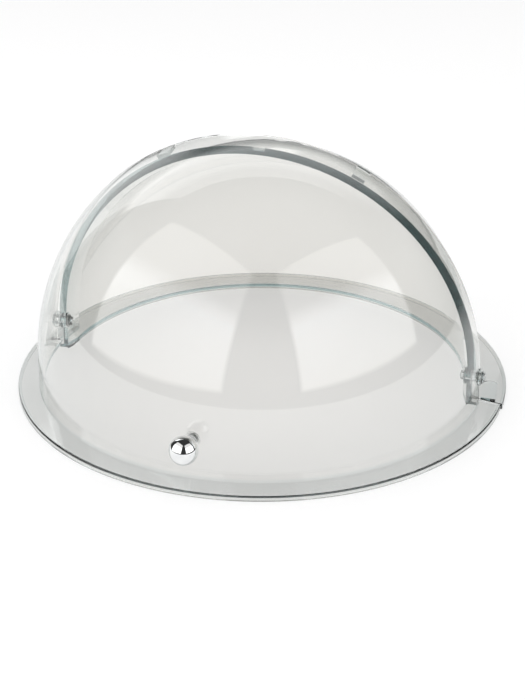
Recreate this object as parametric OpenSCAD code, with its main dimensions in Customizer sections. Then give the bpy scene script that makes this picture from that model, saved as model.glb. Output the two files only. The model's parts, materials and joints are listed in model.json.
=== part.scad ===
// Roll-top food cover: a clear front lid that rolls back over a clear fixed rear dome.
// Millimetres, +Z up. Origin in the middle of the whole cover, on the table. Front is -Y.
// Both shells are spheres about one point on the hinge line, so they stay apart at every lid angle.

/* [Overall] */
// Outer diameter of the rear rim
rim_d = 440; // [320:1:520]
// Height of the hinge line above the table
pivot_h = 33.5; // [30:0.5:45]
// Wall thickness of both shells and of the rim plate
wall_t = 3; // [2.4:0.1:4]

/* [Front lid] */
// Width of rim left outside the lid
lid_ledge = 19.6; // [16:0.2:30]
// How far the lid's rear edge lies behind the vertical, in degrees
lid_back = 3.5; // [2:0.1:8]
// How far the front rim is set in from the rear rim
rim_inset = 1.2; // [0:0.1:4]
// Angle of each stop lug from the middle, in degrees
lug_at = 26.5; // [12:0.5:45]
// Width of a stop lug
lug_w = 12; // [6:0.5:16]
// How far a stop lug stands in from the lid
lug_h = 3.2; // [3:0.1:5]

/* [Rear dome] */
// Space between the lid's inside and the dome's outside
dome_gap = 11.4; // [9:0.1:16]
// Space between the lid's inside and the flared front edge of the dome
lip_gap = 2.1; // [1.2:0.1:3]
// How far the dome's front edge lies in front of the vertical, in degrees
dome_fwd = 2.6; // [0:0.1:6]
// Width of the dome's thick front edge
edge_w = 7.1; // [5:0.1:8]
// Length of the flare outside the front edge
flare_len = 19.6; // [14:0.2:30]
// Length of the flare inside the front edge
flare_in_len = 16; // [12:0.2:26]
// Side room for the knob washer in the front edge's notch
notch_room = 0.75; // [0.5:0.05:2]
// Room below the knob screw in the front edge's notch
notch_deep = 1.2; // [0.8:0.1:2]

/* [Rim] */
// Height of the rim's top edge above the table
rim_h = 5.2; // [4.5:0.1:8]
// Rise of the rim towards the dome, in mm for each mm of width
rim_slope = 0.11; // [0:0.01:0.2]
// Width of the rim's turned-down edge
hem_w = 3; // [2:0.1:4]
// Radius between the rear dome and the rim
root_r = 2.5; // [2:0.5:10]
// Start of the rear rim behind the hinge line
rear_start = 0.5; // [0.3:0.1:3]
// End of the lid's wall in front of the hinge line
front_end = 1.5; // [0.5:0.1:4]
// How far the front rim runs past the hinge line, outside the hinge
rim_tab = 8; // [4:0.5:9]
// Gap between the ends of the two rims
rim_gap = 1; // [0.6:0.1:2]
// Height of the raised pad beside each hinge
pad_h = 1.6; // [0.8:0.1:3]
// Width of the raised pad
pad_w = 13; // [8:0.5:16]
// Length of the raised pad up to its round end
pad_len = 28; // [12:1:40]
// Turn of the raised pad along the rim, in degrees
pad_turn = 8.5; // [0:0.5:15]

/* [Hinge] */
// Radius of the round ears on both shells
ear_r = 7.5; // [7:0.5:14]
// Diameter of the bolt's plain shoulder
shoulder_d = 6; // [5:0.5:10]
// Diameter of the bolt's threaded end
thread_d = 4.5; // [4:0.5:8]
// Radial running clearance of the lid on the shoulder
run_gap = 0.05; // [0.02:0.01:0.1]
// End play on each side of the lid's ear
end_play = 0.4; // [0.3:0.05:0.8]
// Diameter of the bolt head
head_d = 11.5; // [10:0.5:20]
// Wall of the spacer bush
bush_wall = 1.6; // [1.2:0.1:3]
// How far the dome's ear stands in from its front edge
ear_proud = 1.8; // [1:0.1:3]
// Length of the dome's ear along the hinge line
ear_len = 5.6; // [4.5:0.1:6]
// How far the lid's ear stands out from its wall
ear_step = 1.2; // [0.8:0.1:2]
// Room between the dome's front edge and the lid's ear
ear_room = 0.6; // [0.4:0.1:2]
// Thickness of the washer under the bolt head
washer_t = 0.6; // [0.5:0.1:1.5]
// Thickness of the bolt head
head_t = 2.2; // [2:0.1:5]
// Thickness of the washer under the nut
nut_washer_t = 0.6; // [0.5:0.1:2]
// Height of the nut's hexagon
nut_t = 2.8; // [2.4:0.1:7]
// Height of the nut's domed end
cap_h = 1.2; // [1:0.1:3]

/* [Knob] */
// Diameter of the knob ball
ball_d = 25; // [20:0.5:35]
// Distance from the lid to the ball
knob_gap = 7.3; // [5:0.1:14]
// Height of the knob above the hinge line, in degrees
knob_up = 2.7; // [0:0.1:20]
// Diameter of the knob screw
knob_thread_d = 5; // [4:0.5:6]
// Diameter of the washer inside the lid
knob_washer_d = 10; // [8.5:0.5:14]
// Thickness of the washer inside the lid
inner_t = 1; // [0.6:0.1:2]
// Height of the flat seats on the lid, inside and outside
seat_h = 0.7; // [0.5:0.1:1.5]
// Thickness of the soft ring under the neck
gasket_t = 0.9; // [0.5:0.1:1.5]
// Diameter of the neck
neck_d = 8.4; // [7:0.2:14]
// Thickness of the screw head
screw_head_t = 2.4; // [1.6:0.1:3]

/* [Hidden] */
$fn = 160;
rim_r = rim_d / 2;
front_rim_r = rim_r - rim_inset;
lid_ro = rim_r - lid_ledge;
lid_ri = lid_ro - wall_t;
dome_ro = lid_ri - dome_gap;
dome_ri = dome_ro - wall_t;
lip_r = lid_ri - lip_gap;
edge_in = lip_r - edge_w;
// how much the flares narrow for each mm back from the front edge
narrow_out = (lip_r - sqrt(pow(dome_ro, 2) - pow(flare_len, 2))) / flare_len;
narrow_in = (edge_in - sqrt(pow(dome_ri, 2) - pow(flare_in_len, 2))) / flare_in_len;
// both flares run on a little past the walls' own surfaces
flare_end = 1.08 * flare_len;
flare_in_end = 1.25 * flare_in_len;
// outer side of the front edge's foot, kept inside the edge's own radius
post_x = sqrt(pow(lip_r, 2) - pow(pivot_h, 2)) - 0.3;
big = 3 * rim_r;
// inner side of the front rim's end, and its underside, which passes the table when the lid turns
tab_in = lid_ri - 1.1;
tab_low = pivot_h - sqrt(pow(pivot_h - 0.2, 2) - pow(rim_tab, 2));

// hinge stack, measured along the hinge line from the middle
ear_in = edge_in - ear_proud;
ear_out = ear_in + ear_len;
lid_ear_in = lip_r + ear_room;
lid_ear_out = lid_ro + ear_step;
bush_end = lid_ear_in - end_play;
bush_r = shoulder_d / 2 + bush_wall;
head_in = lid_ear_out + end_play + washer_t;
nut_af = thread_d * 1.7;
nut_face = ear_in - nut_washer_t;
nut_washer_r = nut_af / 2 + 2;
part_gap = 0.05;

// knob stack, measured along the knob's axis from the sphere's centre
ball_r = ball_d / 2;
knob_r = knob_thread_d / 2;
seat_r = knob_washer_d / 2 + 2;
seat_out = lid_ro + seat_h;
seat_in = lid_ri - seat_h;
neck_r = neck_d / 2;
ball_at = lid_ro + knob_gap + ball_r;
ball_flat = ball_at - sqrt(pow(ball_r, 2) - pow(neck_r + 0.2, 2));
screw_head_r = knob_washer_d / 2 - 0.6;
screw_low = seat_in - inner_t - screw_head_t;
notch_w = knob_washer_d + 2 * notch_room;
notch_r = screw_low - notch_deep;
lug_y = edge_back(lid_ri - lug_h) + 0.6;

// the hinge line lies this far behind the middle of the whole length
knob_reach = ball_at * cos(knob_up) + ball_r;
hinge_y = (knob_reach - rim_r) / 2;

clear = [0.86, 0.89, 0.89, 0.35];
chrome = [0.8, 0.81, 0.83];
soft = [0.92, 0.93, 0.92, 0.6];

// the pieces are drawn about the hinge line and then moved to their place
module in_place() {
    translate([0, hinge_y, 0]) children();
}

// a rod along the hinge line, from a to b on the right side
module rod(a, b, r) {
    translate([a, 0, pivot_h]) rotate([0, 90, 0]) cylinder(r = r, h = b - a);
}

// the same piece on both sides
module both() {
    children();
    mirror([1, 0, 0]) children();
}

// puts a piece on the knob's axis, with Z running outwards from the sphere's centre
module on_knob() {
    translate([0, 0, pivot_h]) rotate([90 - knob_up, 0, 0]) children();
}

// a shell turned about the hinge line, from level at the rear up and past the top
module shell(ri, ro, sweep) {
    translate([0, 0, pivot_h]) rotate([0, 90, 0]) rotate([0, 0, 90]) rotate_extrude(angle = sweep)
        intersection() {
            difference() {
                circle(r = ro);
                circle(r = ri);
            }
            translate([0, -ro - 5]) square([ro + 5, 2 * ro + 10]);
        }
}

// frame of the dome's front edge: Y runs back from the edge
module dome_tilt() {
    translate([0, 0, pivot_h]) rotate([dome_fwd, 0, 0]) children();
}

// turns a section about the middle of the dome's front edge, over the upper half only
module along_edge() {
    dome_tilt() rotate([-90, 0, 0]) rotate([0, 0, 180]) rotate_extrude(angle = 180) children();
}

// depth of the front edge at radius r, measured back from its face
function edge_back(r) = (lip_r - r) / narrow_out;

// section of what is added outside the wall, less a skin
module edge_section(skin) {
    low = dome_ri + 0.8 - skin;
    high = lip_r - skin;
    polygon([[low, 0], [high, 0], [high - narrow_out * flare_end, flare_end], [low, flare_end]]);
}

// section of what is taken off inside the wall, less a skin
module edge_cut(skin) {
    low = dome_ri - 4;
    high = edge_in - skin;
    polygon([[low, -1], [high + narrow_in, -1], [high - narrow_in * flare_in_end, flare_in_end],
             [low, flare_in_end]]);
}

// height of the rim's top face at radius r, for a rim of outer radius ro
function rim_top(r, ro) = rim_h + rim_slope * (ro - 1 - r);

// section of a shell's foot: upright wall, sloped rim plate and turned-down hem with a round top corner
module foot(ri, ro) {
    low = rim_top(ri, ro) - wall_t;
    translate([ri, low]) square([wall_t, pivot_h - low]);
    polygon([[ri + 0.5, rim_top(ri + 0.5, ro)], [ro - 1, rim_h], [ro - 1, rim_h - wall_t],
             [ri + 0.5, rim_top(ri + 0.5, ro) - wall_t]]);
    translate([ro - hem_w, 0]) square([hem_w, rim_h - 1]);
    translate([ro - 1, rim_h - 1]) circle(r = 1);
}

// radius between a wall and its rim
module root(wall_r, r, ro) {
    cx = wall_r + r - 0.2;
    cz = rim_top(cx, ro) + r - 0.2;
    difference() {
        translate([wall_r - 1, rim_h - 1]) square([r + 0.8, cz - rim_h + 1]);
        translate([cx, cz]) circle(r = r);
    }
}

// where the rear dome's foot is kept: behind the hinge line and clear of the front rim's ends
module rear_half() {
    difference() {
        translate([-big / 2, rear_start, -1]) cube([big, big, big]);
        both() translate([tab_in, -1, -2]) cube([big, rim_tab + rim_gap + 1, big + 2]);
    }
}

// where the lid's foot is kept: in front of the hinge line, with a low end of the rim running past it
module front_half() {
    translate([-big / 2, -big - front_end, -1]) cube([big, big, big]);
    both() translate([tab_in, -front_end - 1, tab_low])
        cube([big / 4, rim_tab + front_end + 1, rim_top(lid_ri, front_rim_r) + 0.2 - tab_low]);
}

module rear_dome() {
    color(clear) difference() {
        union() {
            difference() {
                union() {
                    shell(dome_ri, dome_ro, 90 + dome_fwd);
                    along_edge() edge_section(0);
                    intersection() {
                        rotate_extrude() union() {
                            foot(dome_ri, rim_r);
                            root(dome_ro, root_r, rim_r);
                        }
                        rear_half();
                    }
                    // the edge goes on down to the rim beside each hinge
                    both() translate([0, rear_start, rim_h]) linear_extrude(pivot_h - rim_h + 1.5)
                        intersection() {
                            edge_section(0.8);
                            square([post_x, flare_len - 1]);
                        }
                }
                along_edge() edge_cut(0);
                both() translate([0, rear_start, -1]) linear_extrude(pivot_h + 1.5) edge_cut(0.4);
                // flat place for the nut and its washer
                both() rod(ear_in - 9, ear_in + 0.3, nut_washer_r + 0.5);
                // the knob's screw and washer pass here when the lid is open
                dome_tilt() translate([-notch_w / 2, -2, notch_r])
                    cube([notch_w, 2 + flare_len / 2, 20]);
                // room in the edge for the bush and bolt
                both() rod(ear_out, lid_ear_out, bush_r + 1.2);
            }
            both() rod(ear_in, ear_out, ear_r);
            both() hinge_pad();
        }
        both() rod(ear_in - 1, ear_out + 1, thread_d / 2 + part_gap);
    }
}

// low raised pad on the rear rim beside the hinge
module hinge_pad() {
    pad_top = rim_top(lid_ear_out, rim_r) + pad_h;
    pad_x = lid_ear_out + pad_w / 2 - 1.5;
    pad_y = rim_tab + rim_gap;
    translate([0, 0, rim_h - 0.5]) linear_extrude(pad_top - rim_h + 0.5) difference() {
        translate([pad_x, pad_y]) rotate(pad_turn) {
            translate([-pad_w / 2, -pad_w / 2]) square([pad_w, pad_len + pad_w / 2]);
            translate([0, pad_len]) circle(r = pad_w / 2);
        }
        translate([0, pad_y - pad_w]) square([rim_r, pad_w]);
    }
}

// rib inside the lid that meets the dome's front edge when the lid is shut
module stop_lug(a) {
    dome_tilt() rotate([0, a, 0]) translate([-lug_w / 2, lug_y, lid_ri - lug_h])
        cube([lug_w, 15, lug_h + 0.7]);
}

module front_lid() {
    color(clear) difference() {
        union() {
            mirror([0, 1, 0]) shell(lid_ri, lid_ro, 90 + lid_back);
            intersection() {
                rotate_extrude() foot(lid_ri, front_rim_r);
                front_half();
            }
            both() rod(lid_ear_in, lid_ear_out, ear_r);
            stop_lug(lug_at);
            stop_lug(-lug_at);
            on_knob() translate([0, 0, seat_in]) cylinder(r = seat_r, h = seat_out - seat_in);
        }
        both() rod(lid_ear_in - 1, lid_ear_out + 1, shoulder_d / 2 + run_gap);
        on_knob() translate([0, 0, seat_in - 2]) cylinder(r = knob_r + 0.2, h = 12);
    }
}

// shoulder bolt: the lid turns on its shoulder
module pivot_bolt() {
    color(clear) difference() {
        union() {
            rod(nut_face - nut_t + 0.6, ear_out + 0.5, thread_d / 2);
            rod(ear_out, head_in + 0.5, shoulder_d / 2);
            rod(head_in, head_in + head_t - 1.2, head_d / 2);
            rod(head_in, head_in + head_t, head_d / 2 - 1.6);
        }
        translate([head_in + head_t - 1.4, -head_d, pivot_h - 1]) cube([5, 2 * head_d, 2]);
    }
}

// tube that keeps the two ears apart
module spacer_bush() {
    color(clear) difference() {
        rod(ear_out, bush_end, bush_r);
        rod(ear_out - 1, bush_end + 1, shoulder_d / 2 + part_gap);
    }
}

// thin ring under the bolt head
module head_washer() {
    color(soft) difference() {
        rod(head_in - washer_t, head_in, head_d / 2 - 1);
        rod(head_in - 2, head_in + 1, shoulder_d / 2 + part_gap);
    }
}

// ring between the nut and the dome's ear
module nut_washer() {
    color(soft) difference() {
        rod(nut_face, ear_in, nut_washer_r);
        rod(nut_face - 1, ear_in + 1, thread_d / 2 + part_gap);
    }
}

// closed nut inside the dome
module cap_nut() {
    color(clear) difference() {
        union() {
            translate([nut_face, 0, pivot_h]) rotate([0, -90, 0])
                cylinder(r = nut_af / sqrt(3), h = nut_t, $fn = 6);
            intersection() {
                rod(nut_face - nut_t - cap_h - 1, nut_face - nut_t + 1, 0.45 * nut_af);
                translate([nut_face - nut_t - cap_h + 0.6 * nut_af, 0, pivot_h])
                    sphere(r = 0.6 * nut_af);
            }
        }
        rod(nut_face - nut_t, nut_face + 1, thread_d / 2 + part_gap);
    }
}

module knob_ball() {
    color(chrome) on_knob() difference() {
        translate([0, 0, ball_at]) sphere(r = ball_r);
        translate([0, 0, ball_flat - 5]) cylinder(r = ball_r, h = 5);
        translate([0, 0, ball_flat - 1]) cylinder(r = knob_r + part_gap, h = 11);
    }
}

module knob_neck() {
    color(chrome) on_knob() difference() {
        translate([0, 0, seat_out + gasket_t]) cylinder(r = neck_r, h = ball_flat - seat_out - gasket_t);
        translate([0, 0, seat_out]) cylinder(r = knob_r + part_gap, h = 20);
    }
}

module knob_gasket() {
    color(soft) on_knob() difference() {
        translate([0, 0, seat_out]) cylinder(r = neck_r + 1.4, h = gasket_t);
        translate([0, 0, seat_out - 1]) cylinder(r = knob_r + part_gap, h = 4);
    }
}

module knob_washer() {
    color(soft) on_knob() difference() {
        translate([0, 0, seat_in - inner_t]) cylinder(r = knob_washer_d / 2, h = inner_t);
        translate([0, 0, seat_in - 3]) cylinder(r = knob_r + part_gap, h = 6);
    }
}

module knob_screw() {
    color(chrome) on_knob() difference() {
        union() {
            translate([0, 0, screw_low]) cylinder(r = screw_head_r, h = screw_head_t);
            translate([0, 0, screw_low + 1]) cylinder(r = knob_r, h = ball_flat + 8 - screw_low);
        }
        translate([-10, -0.6, screw_low - 1]) cube([20, 1.2, 2.1]);
    }
}

in_place() rear_dome();
in_place() front_lid();
in_place() pivot_bolt();  // pivot_bolt_right
in_place() mirror([1, 0, 0]) pivot_bolt();  // pivot_bolt_left
in_place() spacer_bush();  // spacer_bush_right
in_place() mirror([1, 0, 0]) spacer_bush();  // spacer_bush_left
in_place() head_washer();  // head_washer_right
in_place() mirror([1, 0, 0]) head_washer();  // head_washer_left
in_place() nut_washer();  // nut_washer_right
in_place() mirror([1, 0, 0]) nut_washer();  // nut_washer_left
in_place() cap_nut();  // cap_nut_right
in_place() mirror([1, 0, 0]) cap_nut();  // cap_nut_left
in_place() knob_ball();
in_place() knob_neck();
in_place() knob_gasket();
in_place() knob_washer();
in_place() knob_screw();
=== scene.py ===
import json
import math

import bpy
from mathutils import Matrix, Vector

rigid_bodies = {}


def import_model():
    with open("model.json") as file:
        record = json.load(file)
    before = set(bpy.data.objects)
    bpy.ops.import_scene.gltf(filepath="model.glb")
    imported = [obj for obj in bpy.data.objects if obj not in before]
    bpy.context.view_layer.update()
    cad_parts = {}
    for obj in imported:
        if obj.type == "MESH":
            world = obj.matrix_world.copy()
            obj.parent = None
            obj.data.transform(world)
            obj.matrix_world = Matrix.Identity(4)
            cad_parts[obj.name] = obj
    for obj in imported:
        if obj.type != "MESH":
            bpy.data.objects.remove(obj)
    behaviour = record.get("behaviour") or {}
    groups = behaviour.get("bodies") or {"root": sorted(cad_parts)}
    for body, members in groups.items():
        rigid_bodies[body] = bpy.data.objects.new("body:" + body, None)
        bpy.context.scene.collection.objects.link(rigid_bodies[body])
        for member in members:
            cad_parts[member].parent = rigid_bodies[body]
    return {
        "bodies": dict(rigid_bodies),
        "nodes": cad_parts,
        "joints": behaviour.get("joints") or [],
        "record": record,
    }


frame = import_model()
frame_objects = set(frame["nodes"].values()) | set(frame["bodies"].values())
for startup in set(bpy.data.objects) - frame_objects:
    bpy.data.objects.remove(startup)
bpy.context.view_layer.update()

scene = bpy.context.scene
scene.view_settings.view_transform = "Standard"

# middle of the hinge line, and the rim's centre on the table below it
HINGE = Vector(frame["joints"][0]["pos_m"])
RIM = Vector((HINGE.x, HINGE.y, 0.0))
WHITE = (1.0, 1.0, 1.0)

# camera at the photograph's angle, on a frame of 525 x 700 pixels
FRAME_W, FRAME_H = 525.0, 700.0
SENSOR = 36.0
AZ, EL = math.radians(17.02), math.radians(27.49)
DIST = 2.350
FOCAL_PX = 2599.3
NEAR, FAR = 0.05, 60.0
# pixel of the rim's centre
RIM_X, RIM_Y = 261.5, 380.0


def around(az, el):
    """Direction from the object at an azimuth and an elevation."""
    return Vector((math.sin(az) * math.cos(el), -math.cos(az) * math.cos(el), math.sin(el)))


cam = bpy.data.objects.new("camera", bpy.data.cameras.new("camera"))
scene.collection.objects.link(cam)
cam.data.sensor_width = SENSOR
cam.data.lens = FOCAL_PX * SENSOR / FRAME_H
cam.data.clip_start, cam.data.clip_end = NEAR, FAR
cam.location = RIM + around(AZ, EL) * DIST
turn = math.atan((RIM_X - FRAME_W / 2) / FOCAL_PX)
drop = math.atan((RIM_Y - FRAME_H / 2) / FOCAL_PX)
cam.rotation_mode = "QUATERNION"
cam.rotation_quaternion = (-around(AZ + turn, EL - drop)).to_track_quat("-Z", "Y")
scene.camera = cam

# sockets of a Mix node, which go by number: its two inputs and its output, for numbers and for colours
MIX_NUMBERS = (2, 3, 0)
MIX_COLOURS = (6, 7, 2)


class Nodes:
    """Small helpers that build one node tree."""

    def __init__(self, tree):
        self.tree = tree

    def add(self, kind, inputs=None, **settings):
        n = self.tree.nodes.new(kind)
        for k, v in settings.items():
            setattr(n, k, v)
        for k, v in (inputs or {}).items():
            n.inputs[k].default_value = v
        return n

    def link(self, a, b):
        self.tree.links.new(a, b)

    def put(self, socket, value):
        """A number or a colour is set on the socket, and an output is linked to it."""
        if isinstance(value, (int, float)):
            socket.default_value = value
        elif isinstance(value, tuple):
            socket.default_value = (*value, 1.0)
        else:
            self.link(value, socket)

    def math(self, op, a, b):
        n = self.add("ShaderNodeMath", operation=op)
        self.put(n.inputs[0], a)
        self.put(n.inputs[1], b)
        return n.outputs[0]

    def xyz(self, coordinate):
        n = self.add("ShaderNodeSeparateXYZ")
        self.link(self.add("ShaderNodeTexCoord").outputs[coordinate], n.inputs["Vector"])
        return n.outputs

    def noise(self, scale, detail, rough=0.5, stretch=(1, 1, 1)):
        place = self.add("ShaderNodeMapping", {"Scale": stretch})
        self.link(self.add("ShaderNodeTexCoord").outputs["Object"], place.inputs["Vector"])
        n = self.add("ShaderNodeTexNoise", {"Scale": scale, "Detail": detail, "Roughness": rough})
        self.link(place.outputs["Vector"], n.inputs["Vector"])
        return n.outputs["Fac"]

    def spread(self, value, span, onto):
        """The value's stretch over a span, from low to high, spread onto another."""
        ends = {"From Min": span[0], "From Max": span[1], "To Min": onto[0], "To Max": onto[1]}
        n = self.add("ShaderNodeMapRange", ends)
        self.link(value, n.inputs["Value"])
        return n.outputs["Result"]

    def ramp(self, value, stops):
        n = self.add("ShaderNodeValToRGB")
        while len(n.color_ramp.elements) < len(stops):
            n.color_ramp.elements.new(0.5)
        for e, (at, colour) in zip(n.color_ramp.elements, stops):
            e.position = at
            e.color = (*colour, 1.0)
        self.link(value, n.inputs["Fac"])
        return n.outputs["Color"]

    def mix(self, share, a, b, sockets, **settings):
        n = self.add("ShaderNodeMix", **settings)
        for socket, value in zip((0, *sockets), (share, a, b)):
            self.put(n.inputs[socket], value)
        return n.outputs[sockets[2]]

    def multiply(self, a, b, share=1.0):
        """Colour a times colour b, by a share."""
        return self.mix(share, a, b, MIX_COLOURS, data_type="RGBA", blend_type="MULTIPLY")

    def choose(self, flag, otherwise, value):
        """The value where the flag is 1, and otherwise the other."""
        return self.mix(flag, otherwise, value, MIX_NUMBERS, data_type="FLOAT")

    def bounced(self, count):
        """1 where a ray's count of bounces is 1 or more."""
        return self.math("GREATER_THAN", count, 0.5)

    def blend(self, share, a, b):
        """Shader a, with a share of shader b over it."""
        n = self.add("ShaderNodeMixShader")
        for socket, shader in zip(n.inputs, (share, a, b)):
            self.link(shader, socket)
        return n.outputs["Shader"]

    def bump(self, height, distance):
        n = self.add("ShaderNodeBump", {"Strength": 1.0, "Distance": distance})
        self.link(height, n.inputs["Height"])
        return n.outputs["Normal"]


def material(name):
    mat = bpy.data.materials.new(name)
    mat.use_nodes = True
    nodes = mat.node_tree.nodes
    return mat, Nodes(mat.node_tree), nodes["Principled BSDF"], nodes["Material Output"]


# clear plastic: its refraction, and the tint that it takes on with depth
CLEAR_IOR = 1.57
DEPTH_TINT = (0.70, 0.79, 0.80)
DEPTH_DENSITY = 90.0
# deeper and paler colours of the shells and of the small fittings, and how rough their smears are
SHELL = ((0.992, 0.960, 0.936), (1.0, 0.968, 0.945))
SHELL_SMEAR = 0.003
FITTING = ((0.96, 0.965, 0.965), (0.98, 0.985, 0.985))
FITTING_SMEAR = 0.02
# tint of the thick rim, partly its own and partly painted shade, darker at its front and sides: the heights
# between which it ends, and how far back it fades
RIM_TINT_AND_SHADE = (0.935, 0.950, 0.954)
RIM_TOP = (0.0085, 0.011)
RIM_FADE = (0.06, 0.15)
# the rear dome's front edge: its lean forward, the painted teal of its reflections, which stands in for
# light carried inside the wall, and the depth that has it
EDGE_LEAN = math.radians(2.6)
EDGE_PAINTED_TEAL = (0.2, 0.8, 0.85)
EDGE_FACE = (0.0005, 0.0025)
# wiping smears are longest from front to back, and flow waves are a few micrometres high
WIPE_STRETCH = (1.0, 0.35, 2.2)
WAVE_H = 0.000006


def painted_edge_teal(n, place):
    """Painted teal on the reflections of the rear dome's front edge, standing in for light carried inside
    the wall; it ends a little way behind the edge.
    """
    y = n.math("MULTIPLY", n.math("SUBTRACT", place["Y"], HINGE.y), math.cos(EDGE_LEAN))
    z = n.math("MULTIPLY", n.math("SUBTRACT", place["Z"], HINGE.z), math.sin(EDGE_LEAN))
    behind = n.spread(n.math("ADD", y, z), EDGE_FACE, (0.0, 1.0))
    return n.ramp(behind, [(0.0, EDGE_PAINTED_TEAL), (1.0, WHITE)])


def clear_plastic(name, colours, smear, edge=False):
    """Clear moulded plastic: faint flow waves and wiping smears, a tint that deepens with thickness, and
    painted shade on the thick rim.
    """
    mat, n, p, out = material(name)
    p.inputs["Transmission Weight"].default_value = 1.0
    p.inputs["IOR"].default_value = CLEAR_IOR
    place = n.xyz("Object")
    low = n.spread(place["Z"], RIM_TOP, (1.0, 0.0))
    rim_shade_fade = n.spread(place["Y"], RIM_FADE, (1.0, 0.0))
    body = n.ramp(n.noise(scale=9.0, detail=2.0), [(0.3, colours[0]), (0.7, colours[1])])
    # the thick rim is tinted bluish grey low down at the front and sides: partly its own tint, partly
    # painted shade
    rim_tint_and_shade = n.multiply(body, RIM_TINT_AND_SHADE, n.math("MULTIPLY", low, rim_shade_fade))
    n.link(rim_tint_and_shade, p.inputs["Base Color"])
    # painted teal on the reflections of the rear dome's front edge
    if edge:
        n.link(painted_edge_teal(n, place), p.inputs["Specular Tint"])
    wipes = n.noise(scale=26.0, detail=6.0, rough=0.65, stretch=WIPE_STRETCH)
    n.link(n.spread(wipes, (0.35, 0.8), (0.0, smear)), p.inputs["Roughness"])
    n.link(n.bump(n.noise(scale=14.0, detail=1.0), WAVE_H), p.inputs["Normal"])
    depth = n.add("ShaderNodeVolumeAbsorption", {"Color": (*DEPTH_TINT, 1.0), "Density": DEPTH_DENSITY})
    n.link(depth.outputs["Volume"], out.inputs["Volume"])
    return mat


# polished metal, from its darker to its paler spots
CHROME = ((0.80, 0.81, 0.82), (0.86, 0.87, 0.87))
CHROME_ROUGH = (0.012, 0.05)
CHROME_BUMP = 0.000004


def chrome(name):
    """Polished metal with a fine uneven polish."""
    mat, n, p, _ = material(name)
    p.inputs["Metallic"].default_value = 1.0
    tone = n.ramp(n.noise(scale=160.0, detail=2.0), [(0.35, CHROME[0]), (0.65, CHROME[1])])
    n.link(tone, p.inputs["Base Color"])
    polish = n.noise(scale=420.0, detail=5.0, rough=0.7)
    n.link(n.spread(polish, (0.4, 0.8), CHROME_ROUGH), p.inputs["Roughness"])
    n.link(n.bump(n.noise(scale=300.0, detail=2.0), CHROME_BUMP), p.inputs["Normal"])
    return mat


# frosted soft plastic, from its darker to its paler spots
SOFT = ((0.84, 0.85, 0.84), (0.92, 0.93, 0.92))
SOFT_CLEAR = 0.55
SOFT_IOR = 1.45
SOFT_ROUGH = (0.32, 0.5)
SOFT_BUMP = 0.00002


def soft_plastic(name):
    """Frosted soft plastic of the washers and the gasket."""
    mat, n, p, _ = material(name)
    p.inputs["Transmission Weight"].default_value = SOFT_CLEAR
    p.inputs["IOR"].default_value = SOFT_IOR
    tone = n.ramp(n.noise(scale=240.0, detail=3.0), [(0.3, SOFT[0]), (0.7, SOFT[1])])
    n.link(tone, p.inputs["Base Color"])
    frost = n.noise(scale=700.0, detail=3.0)
    n.link(n.spread(frost, (0.3, 0.7), SOFT_ROUGH), p.inputs["Roughness"])
    n.link(n.bump(n.noise(scale=1500.0, detail=2.0), SOFT_BUMP), p.inputs["Normal"])
    return mat


finish = {
    "clear_shell": clear_plastic("clear_shell_look", SHELL, SHELL_SMEAR),
    "clear_fitting": clear_plastic("clear_fitting_look", FITTING, FITTING_SMEAR),
    "soft_ring": soft_plastic("soft_ring_look"),
    "chrome": chrome("chrome_look"),
}
# the rear dome's slot is the lid's too, but only the dome has painted teal reflections on its edge
special = {"rear_dome": clear_plastic("rear_shell_painted_teal_edge_look", SHELL, SHELL_SMEAR, edge=True)}
for row in frame["record"]["subparts"]:
    slots = frame["nodes"][row["node"]].data.materials
    slots.clear()
    slots.append(special.get(row["node"], finish[row["material_slot"]]))


# the studio: a round white table, two soft boxes beside the camera, a backdrop and three cards
def stage_mesh(name, corners, mat):
    mesh = bpy.data.meshes.new(name)
    mesh.from_pydata([tuple(c) for c in corners], [], [tuple(range(len(corners)))])
    mesh.materials.append(mat)
    obj = bpy.data.objects.new(name, mesh)
    scene.collection.objects.link(obj)
    return obj


TABLE_GREY = (0.9, 0.9, 0.9)
TABLE_ROUGH = 0.9
# share of the table's look that glows white
TABLE_GLOW = 0.6
TABLE_R = 1.1
TABLE_SIDES = 96
# the table lies just under the rim, so that their faces don't coincide
TABLE_Z = -0.0003


def table_look():
    """White table that partly glows wherever it is seen, so that it stays white and keeps a soft shadow."""
    mat, n, p, out = material("table_look")
    n.put(p.inputs["Base Color"], TABLE_GREY)
    p.inputs["Roughness"].default_value = TABLE_ROUGH
    white = n.add("ShaderNodeEmission", {"Color": (*WHITE, 1.0), "Strength": 1.0})
    rays = n.add("ShaderNodeLightPath").outputs
    mirrored = n.math("MAXIMUM", rays["Is Glossy Ray"], rays["Is Transmission Ray"])
    seen = n.math("MAXIMUM", rays["Is Camera Ray"], mirrored)
    share = n.math("MULTIPLY", seen, TABLE_GLOW)
    n.link(n.blend(share, p.outputs["BSDF"], white.outputs["Emission"]), out.inputs["Surface"])
    return mat


turns = [2 * math.pi * i / TABLE_SIDES for i in range(TABLE_SIDES)]
circle = [RIM + Vector((TABLE_R * math.cos(a), TABLE_R * math.sin(a), TABLE_Z)) for a in turns]
stage_mesh("table", circle, table_look())


def grey(*stops):
    """Stops of a ramp, from places and grey levels."""
    return [(at, (level, level, level)) for at, level in stops]


EVEN = grey((0.0, 1.0), (1.0, 1.0))


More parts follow.
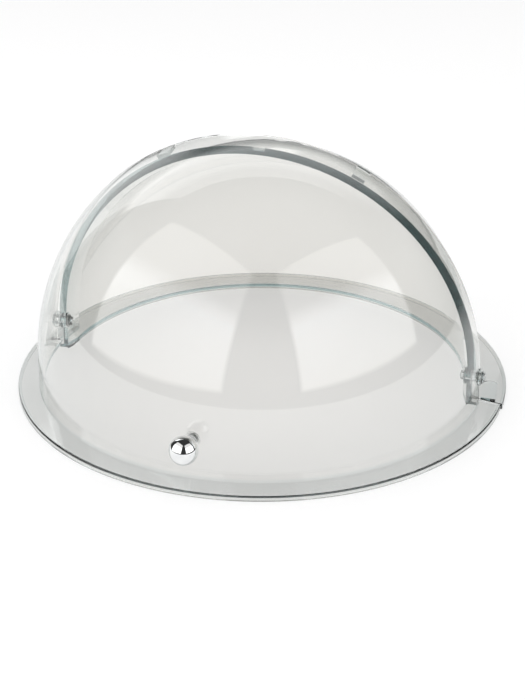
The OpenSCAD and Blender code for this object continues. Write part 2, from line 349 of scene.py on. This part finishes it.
def glow(name, strength, fade, across=EVEN, along=EVEN, added=False):
    """Light that changes across and along a panel and fades at its border. Added light hides nothing."""
    mat, n, p, out = material(name)
    mat.node_tree.nodes.remove(p)
    uv = n.xyz("UV")
    inset = [n.math("MINIMUM", uv[a], n.math("SUBTRACT", 1.0, uv[a])) for a in ("X", "Y")]
    light = n.add("ShaderNodeEmission")
    n.link(n.multiply(n.ramp(uv["X"], across), n.ramp(uv["Y"], along)), light.inputs["Color"])
    n.link(n.spread(n.math("MINIMUM", *inset), (0.0, fade), (0.0, strength)), light.inputs["Strength"])
    shader = light.outputs["Emission"]
    if added:
        both = n.add("ShaderNodeAddShader")
        n.link(shader, both.inputs[0])
        n.link(n.add("ShaderNodeBsdfTransparent").outputs["BSDF"], both.inputs[1])
        shader = both.outputs["Shader"]
    n.link(shader, out.inputs["Surface"])
    return mat


def dark_look(name, foot, head):
    """Black card that fades out below its foot and above its head, as shares of its height."""
    mat, n, p, out = material(name)
    mat.node_tree.nodes.remove(p)
    up = n.xyz("UV")["Y"]
    rise = n.spread(up, (0.0, foot), (0.0, 1.0))
    fall = n.spread(up, (head, 1.0), (1.0, 0.0))
    cover = n.math("MINIMUM", rise, fall)
    clear = n.add("ShaderNodeBsdfTransparent").outputs["BSDF"]
    black = n.add("ShaderNodeEmission", {"Strength": 0.0}).outputs["Emission"]
    n.link(n.blend(cover, clear, black), out.inputs["Surface"])
    return mat


def panel(name, corners, mat):
    """A panel of four corners, seen by reflections and not by the camera."""
    obj = stage_mesh(name, corners, mat)
    uv = obj.data.uv_layers.new(name="place")
    for loop, at in zip(uv.data, ((0, 0), (1, 0), (1, 1), (0, 1))):
        loop.uv = at
    obj.visible_camera = False
    obj.visible_shadow = False
    return obj


# directions of the soft boxes' corners from the hinge, and how far away they are
BOX_DIST = 4.0
BOX_LEFT = ((-0.62, 0.07, 0.78), (0.08, -0.44, 0.83), (-0.01, -0.69, 0.03), (-0.71, -0.17, -0.02))
BOX_RIGHT = ((0.57, 0.32, 0.76), (0.19, -0.35, 0.74), (0.36, -0.52, 0.03), (0.74, 0.15, 0.05))
# their colours from the upper end to the lower one
BOX_LEVELS = [(0.0, (0.36, 0.355, 0.35)), (0.42, (0.42, 0.41, 0.405)),
              (0.56, (0.98, 0.98, 1.0)), (1.0, (0.77, 0.76, 0.74))]
soft_box = glow("soft_box_look", strength=2.4, fade=0.04, along=BOX_LEVELS)
for box, directions in (("soft_box_left", BOX_LEFT), ("soft_box_right", BOX_RIGHT)):
    panel(box, [HINGE + BOX_DIST * Vector(d) for d in directions], soft_box)

# the camera's own directions over the table
AWAY = Vector((-math.sin(AZ), math.cos(AZ), 0.0))
RIGHT = Vector((math.cos(AZ), math.sin(AZ), 0.0))
UP = Vector((0.0, 0.0, 1.0))


def card(name, left, right, heights, mat, lights=False):
    """A standing panel between two places, each given as (right, away) from the rim's centre."""
    a, b = [RIM + RIGHT * r + AWAY * d for r, d in (left, right)]
    low, high = [UP * h for h in heights]
    obj = panel(name, [a + low, b + low, b + high, a + high], mat)
    obj.visible_transmission = False
    obj.visible_diffuse = lights


# the backdrop is dark on the right and low down, and palest where the top of the cover mirrors it
BACK_ACROSS = grey((0.55, 1.0), (0.76, 0.5), (0.88, 0.04))
BACK_ALONG = grey((0.0, 0.2), (0.26, 0.2), (0.31, 0.1), (0.36, 0.12),
                  (0.44, 1.0), (0.68, 1.0), (0.82, 0.55))
backdrop = glow("backdrop_look", strength=2.2, fade=0.02, across=BACK_ACROSS, along=BACK_ALONG)
card("backdrop", left=(-1.5, 1.3), right=(2.2, 1.3), heights=(0.0, 2.4), mat=backdrop, lights=True)

# a low card in front of the backdrop brightens the rear rim
low_glow = glow("low_card_look", strength=1.1, fade=0.15, added=True)
card("low_card", left=(-0.21, 1.28), right=(0.22, 1.28), heights=(0.43, 0.66), mat=low_glow)

# a left card, which ends softly on its right, brightens the left of the arc
LEFT_ACROSS = grey((0.8, 1.0), (1.0, 0.0))
left_glow = glow("left_card_look", strength=0.9, fade=0.05, across=LEFT_ACROSS, added=True)
card("left_card", left=(-1.3, 1.27), right=(-0.36, 1.27), heights=(-0.1, 1.05), mat=left_glow)

# a dark card, which ends softly at its foot and its head, darkens the right of the arc
dark = dark_look("dark_card_look", foot=0.2, head=0.55)
card("dark_card", left=(0.24, 0.12), right=(1.0, 0.2), heights=(0.0, 0.34), mat=dark)

# the world: white to the camera, dark to reflections, and pale low down where it shows through the plastic
DARK = 0.04
# sines of the elevations between which the pale part ends, and its share in reflections from inner faces
LOW_SKY = (0.42, 0.64)
INNER_SHARE = 0.68
# light that reaches the table directly, and under the cover
ON_TABLE, UNDER_COVER = 1.2, 0.8

world = bpy.data.worlds.new("studio")
scene.world = world
world.use_nodes = True
w = Nodes(world.node_tree)
rays = w.add("ShaderNodeLightPath").outputs
sky = w.spread(w.xyz("Generated")["Z"], LOW_SKY, (1.0, DARK))
through = w.choose(w.bounced(rays["Glossy Depth"]), sky, w.math("MULTIPLY", sky, INNER_SHARE))
level = w.choose(rays["Is Glossy Ray"], 1.0, DARK)
level = w.choose(rays["Is Transmission Ray"], level, through)
on_table = w.choose(rays["Is Transmission Ray"], ON_TABLE, UNDER_COVER)
level = w.choose(w.bounced(rays["Diffuse Depth"]), level, on_table)
level = w.choose(rays["Is Camera Ray"], level, 1.0)
background = world.node_tree.nodes["Background"]
background.inputs["Color"].default_value = (*WHITE, 1.0)
w.link(level, background.inputs["Strength"])
